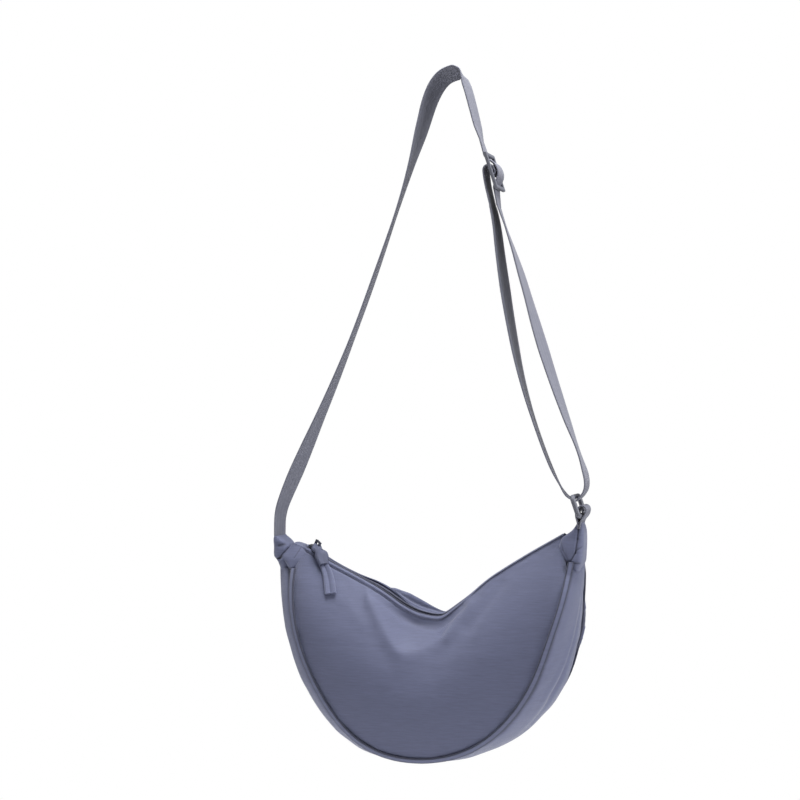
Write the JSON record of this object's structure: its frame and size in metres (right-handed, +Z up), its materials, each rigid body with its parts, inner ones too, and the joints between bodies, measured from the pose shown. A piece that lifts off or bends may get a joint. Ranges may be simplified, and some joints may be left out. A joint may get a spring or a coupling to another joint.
{
  "type": "half moon bag",
  "caption": "Small half moon shoulder bag in plain nylon, with a zipped mouth that sags to a valley, a bound gusset and one webbing strap with a slide adjuster and a ring",
  "frame": {"origin": "the middle of the strap's crown, on the peg that it hangs from, on the underside of the webbing", "axes": "+Z up the hanging bag, +X along the zip from the strap's sleeve to the ring, -Y out of the front panel"},
  "size_m": [0.2894, 0.093, 0.6284],
  "materials": {
    "shell": "matte woven nylon, slate",
    "lining": "thin plain weave",
    "webbing": "flat ribbed webbing",
    "zip_tape": "herringbone tape",
    "zip_coil": "nylon coil",
    "hardware": "moulded, satin",
    "slider_metal": "dark satin",
    "pull_paint": "matte paint, slate"
  },
  "bodies": {
    "bag": {"front_panel": "shell", "rear_panel": "shell", "gusset": "shell", "front_piping": "shell", "rear_piping": "shell", "front_lining": "lining", "rear_lining": "lining", "gusset_lining": "lining", "zip_tape_front": "zip_tape", "zip_tape_rear": "zip_tape", "zip_coil_front": "zip_coil", "zip_coil_rear": "zip_coil", "left_end_tab": "shell", "right_end_tab": "shell", "strap_anchor": "shell", "ring_loop": "webbing", "strap_carry_run": "webbing", "strap_upper_run": "webbing", "strap_front_run": "webbing", "strap_bight": "webbing", "strap_return_run": "webbing"},
    "slider": {"zip_slider": "slider_metal", "zip_crown": "slider_metal"},
    "pull": {"pull_tab": "pull_paint"},
    "puller": {"zip_puller": "shell"},
    "ring": {"ring": "hardware"},
    "adjuster": {"triglide": "hardware", "strap_weave": "webbing", "strap_end_loop": "webbing"}
  },
  "joints": [
    {"name": "zip_slide", "type": "slide", "parent": "bag", "child": "slider", "axis": [0.9086, 0, -0.4177], "range_m": [0, 0.1]},
    {"name": "pull_tab_swing", "type": "hinge", "parent": "slider", "child": "pull", "pos_m": [-0.12537, 0, -0.43063], "axis": [-0.6645, -0.682, 0.3055], "range_deg": [0, 150]},
    {"name": "puller_swing", "type": "hinge", "parent": "pull", "child": "puller", "pos_m": [-0.11706, -0.01145, -0.43812], "axis": [-0.6645, -0.682, 0.3055], "range_deg": [0, 90]},
    {"name": "ring_swing", "type": "hinge", "parent": "bag", "child": "ring", "pos_m": [0.12, 0, -0.4005], "axis": [0, 1, 0], "range_deg": [-25, 25], "deforming": ["strap_bight", "strap_front_run", "strap_return_run"]},
    {"name": "adjuster_slide", "type": "slide", "parent": "bag", "child": "adjuster", "axis": [0.309, 0, -0.9511], "range_m": [-0.03, 0.1], "deforming": ["strap_upper_run", "strap_front_run", "strap_return_run"]}
  ]
}
